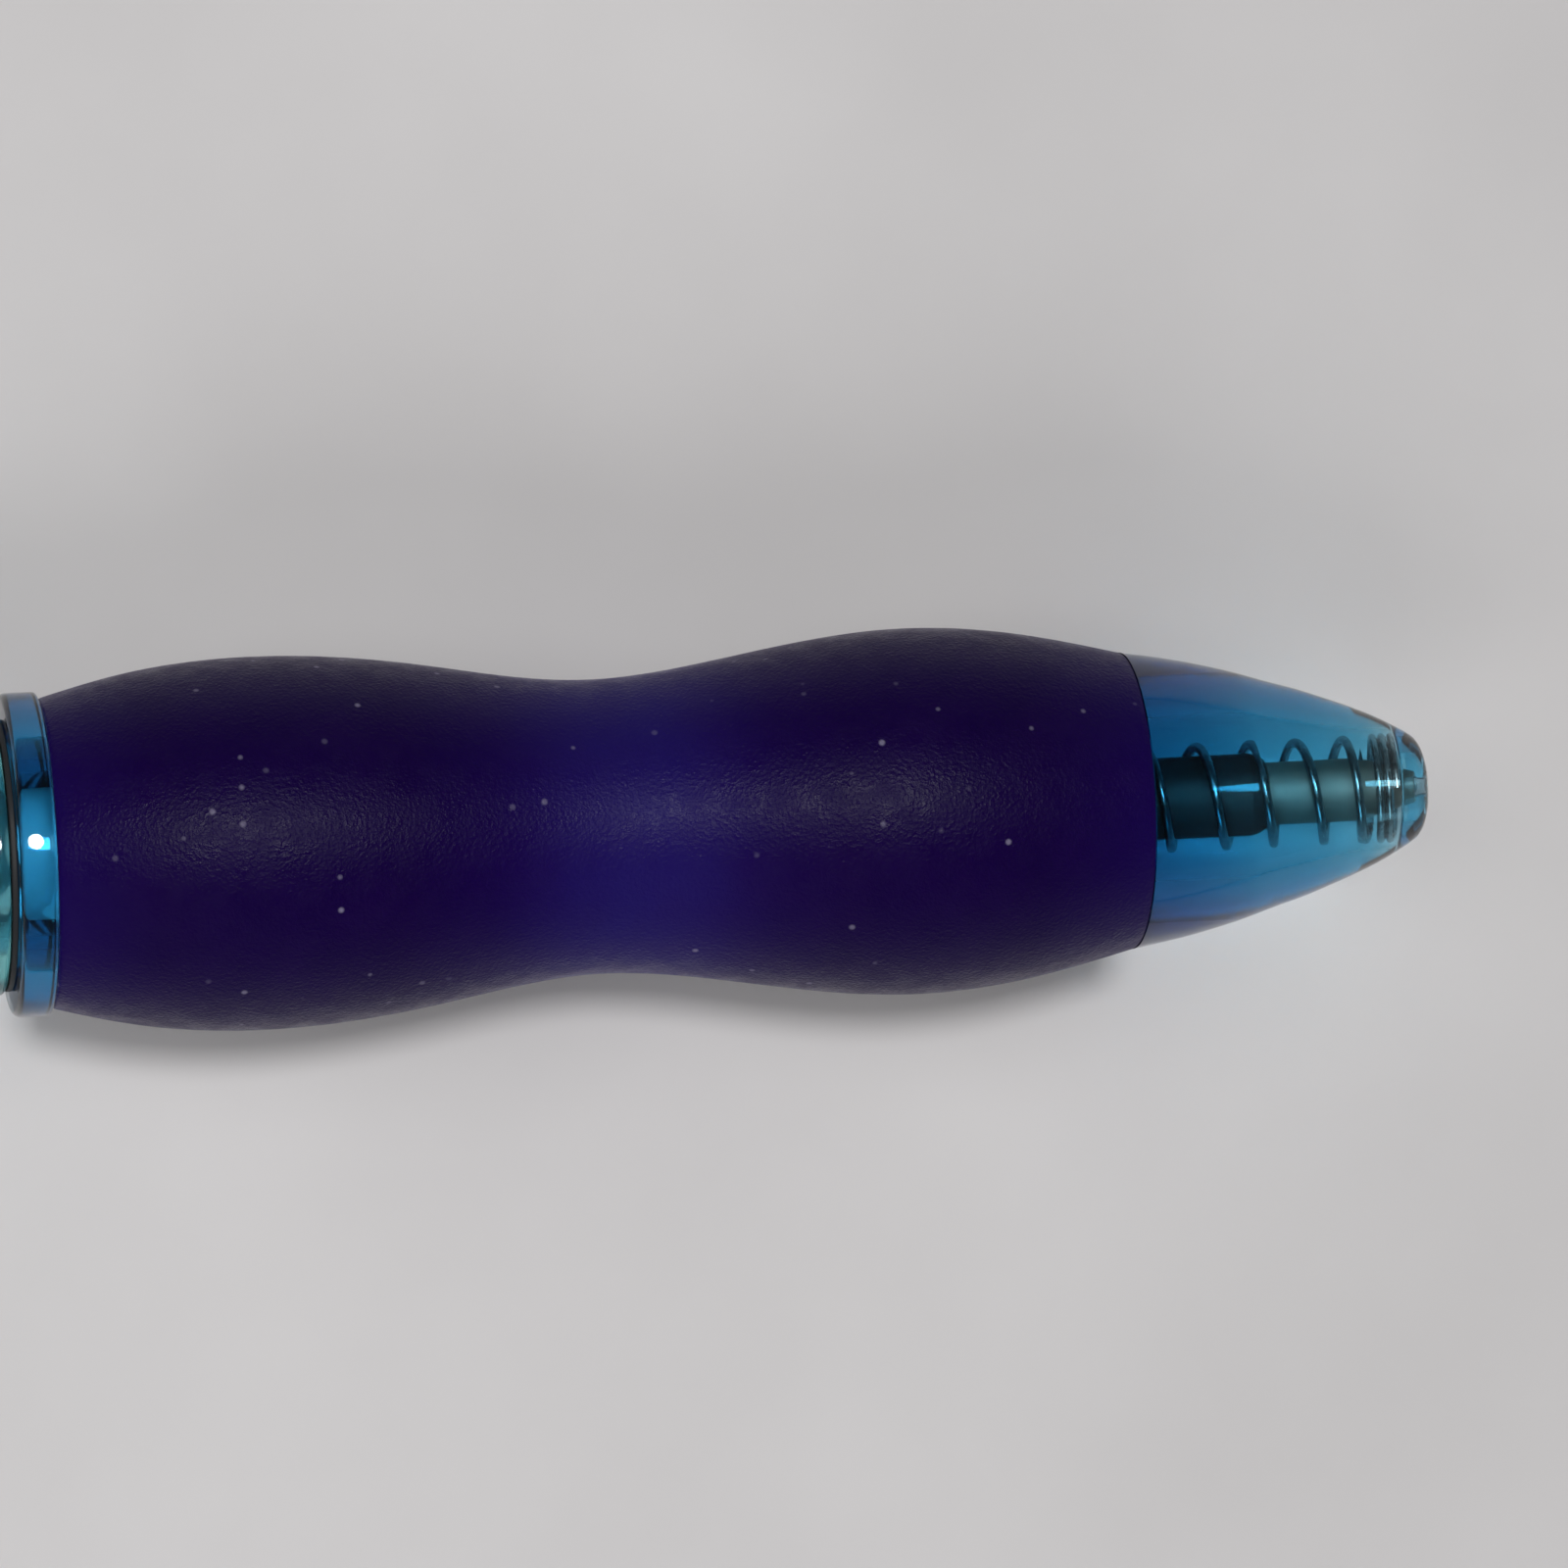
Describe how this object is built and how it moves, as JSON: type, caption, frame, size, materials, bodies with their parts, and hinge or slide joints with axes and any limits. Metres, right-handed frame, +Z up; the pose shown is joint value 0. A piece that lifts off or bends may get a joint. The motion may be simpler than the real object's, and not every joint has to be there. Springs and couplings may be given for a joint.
{
  "type": "retractable ballpoint pen",
  "caption": "Wide-body push-button pen with a soft double-hump grip, clear tapered nose showing the spring and refill, slim rear barrel and spring clip.",
  "frame": {"origin": "bottom centre of the bounding box: under the pen's axis, midway along its length, level with the grip's lowest line", "axes": "+X along the pen toward the writing tip, +Z up through the clip, +Y across"},
  "size_m": [0.1404, 0.0136, 0.0151],
  "materials": {
    "teal_clear": "polished translucent teal polycarbonate",
    "teal_pale": "polished translucent pale teal polycarbonate",
    "violet_silicone": "soft satin silicone",
    "black_rubber": "matte",
    "white_acetal": "satin moulded",
    "clip_steel": "bright plated",
    "spring_steel": "drawn wire",
    "ball_carbide": "ground",
    "nickel_silver": "turned",
    "smoke_plastic": "dark translucent",
    "milky_plastic": "milky white, extruded",
    "dark_ink": "wet",
    "clear_grease": "clear"
  },
  "bodies": {
    "barrel": {"front_barrel": "teal_clear", "grip_sleeve": "violet_silicone", "collar_ring": "teal_clear", "seal_ring": "black_rubber", "rear_barrel": "teal_pale", "cam_sleeve": "white_acetal", "crown": "teal_clear", "return_spring": "spring_steel"},
    "button": {"push_button": "teal_clear", "plunger_cam": "white_acetal"},
    "rotor": {"rotor_cam": "white_acetal"},
    "refill": {"refill_point": "nickel_silver", "point_holder": "smoke_plastic", "ink_tube": "milky_plastic", "ink_column": "dark_ink", "ink_follower": "clear_grease", "refill_plug": "white_acetal"},
    "ball": {"writing_ball": "ball_carbide"},
    "clip": {"clip": "clip_steel"}
  },
  "joints": [
    {"name": "button_press", "type": "slide", "parent": "barrel", "child": "button", "axis": [1, 0, 0], "range_m": [0, 0.005], "stiffness_N_per_m": 220, "springref_m": -0.004, "deforming": ["return_spring"]},
    {"name": "rotor_advance", "type": "slide", "parent": "barrel", "child": "rotor", "axis": [1, 0, 0], "range_m": [0, 0.005]},
    {"name": "refill_advance", "type": "slide", "parent": "barrel", "child": "refill", "axis": [1, 0, 0], "range_m": [0, 0.005]},
    {"name": "ball_roll", "type": "hinge", "parent": "refill", "child": "ball", "pos_m": [0.06915, 0, 0.00681], "axis": [0, 1, 0], "continuous": true},
    {"name": "clip_flex", "type": "hinge", "parent": "barrel", "child": "clip", "pos_m": [-0.05645, 0, 0.01031], "axis": [0, -1, 0], "range_deg": [0, 4.5], "stiffness_Nm_per_rad": 1.9, "springref_deg": -1.15}
  ],
  "couplings": [
    {"joint": "rotor_advance", "follows": "button_press", "ratio": 1},
    {"joint": "refill_advance", "follows": "button_press", "ratio": 1}
  ]
}
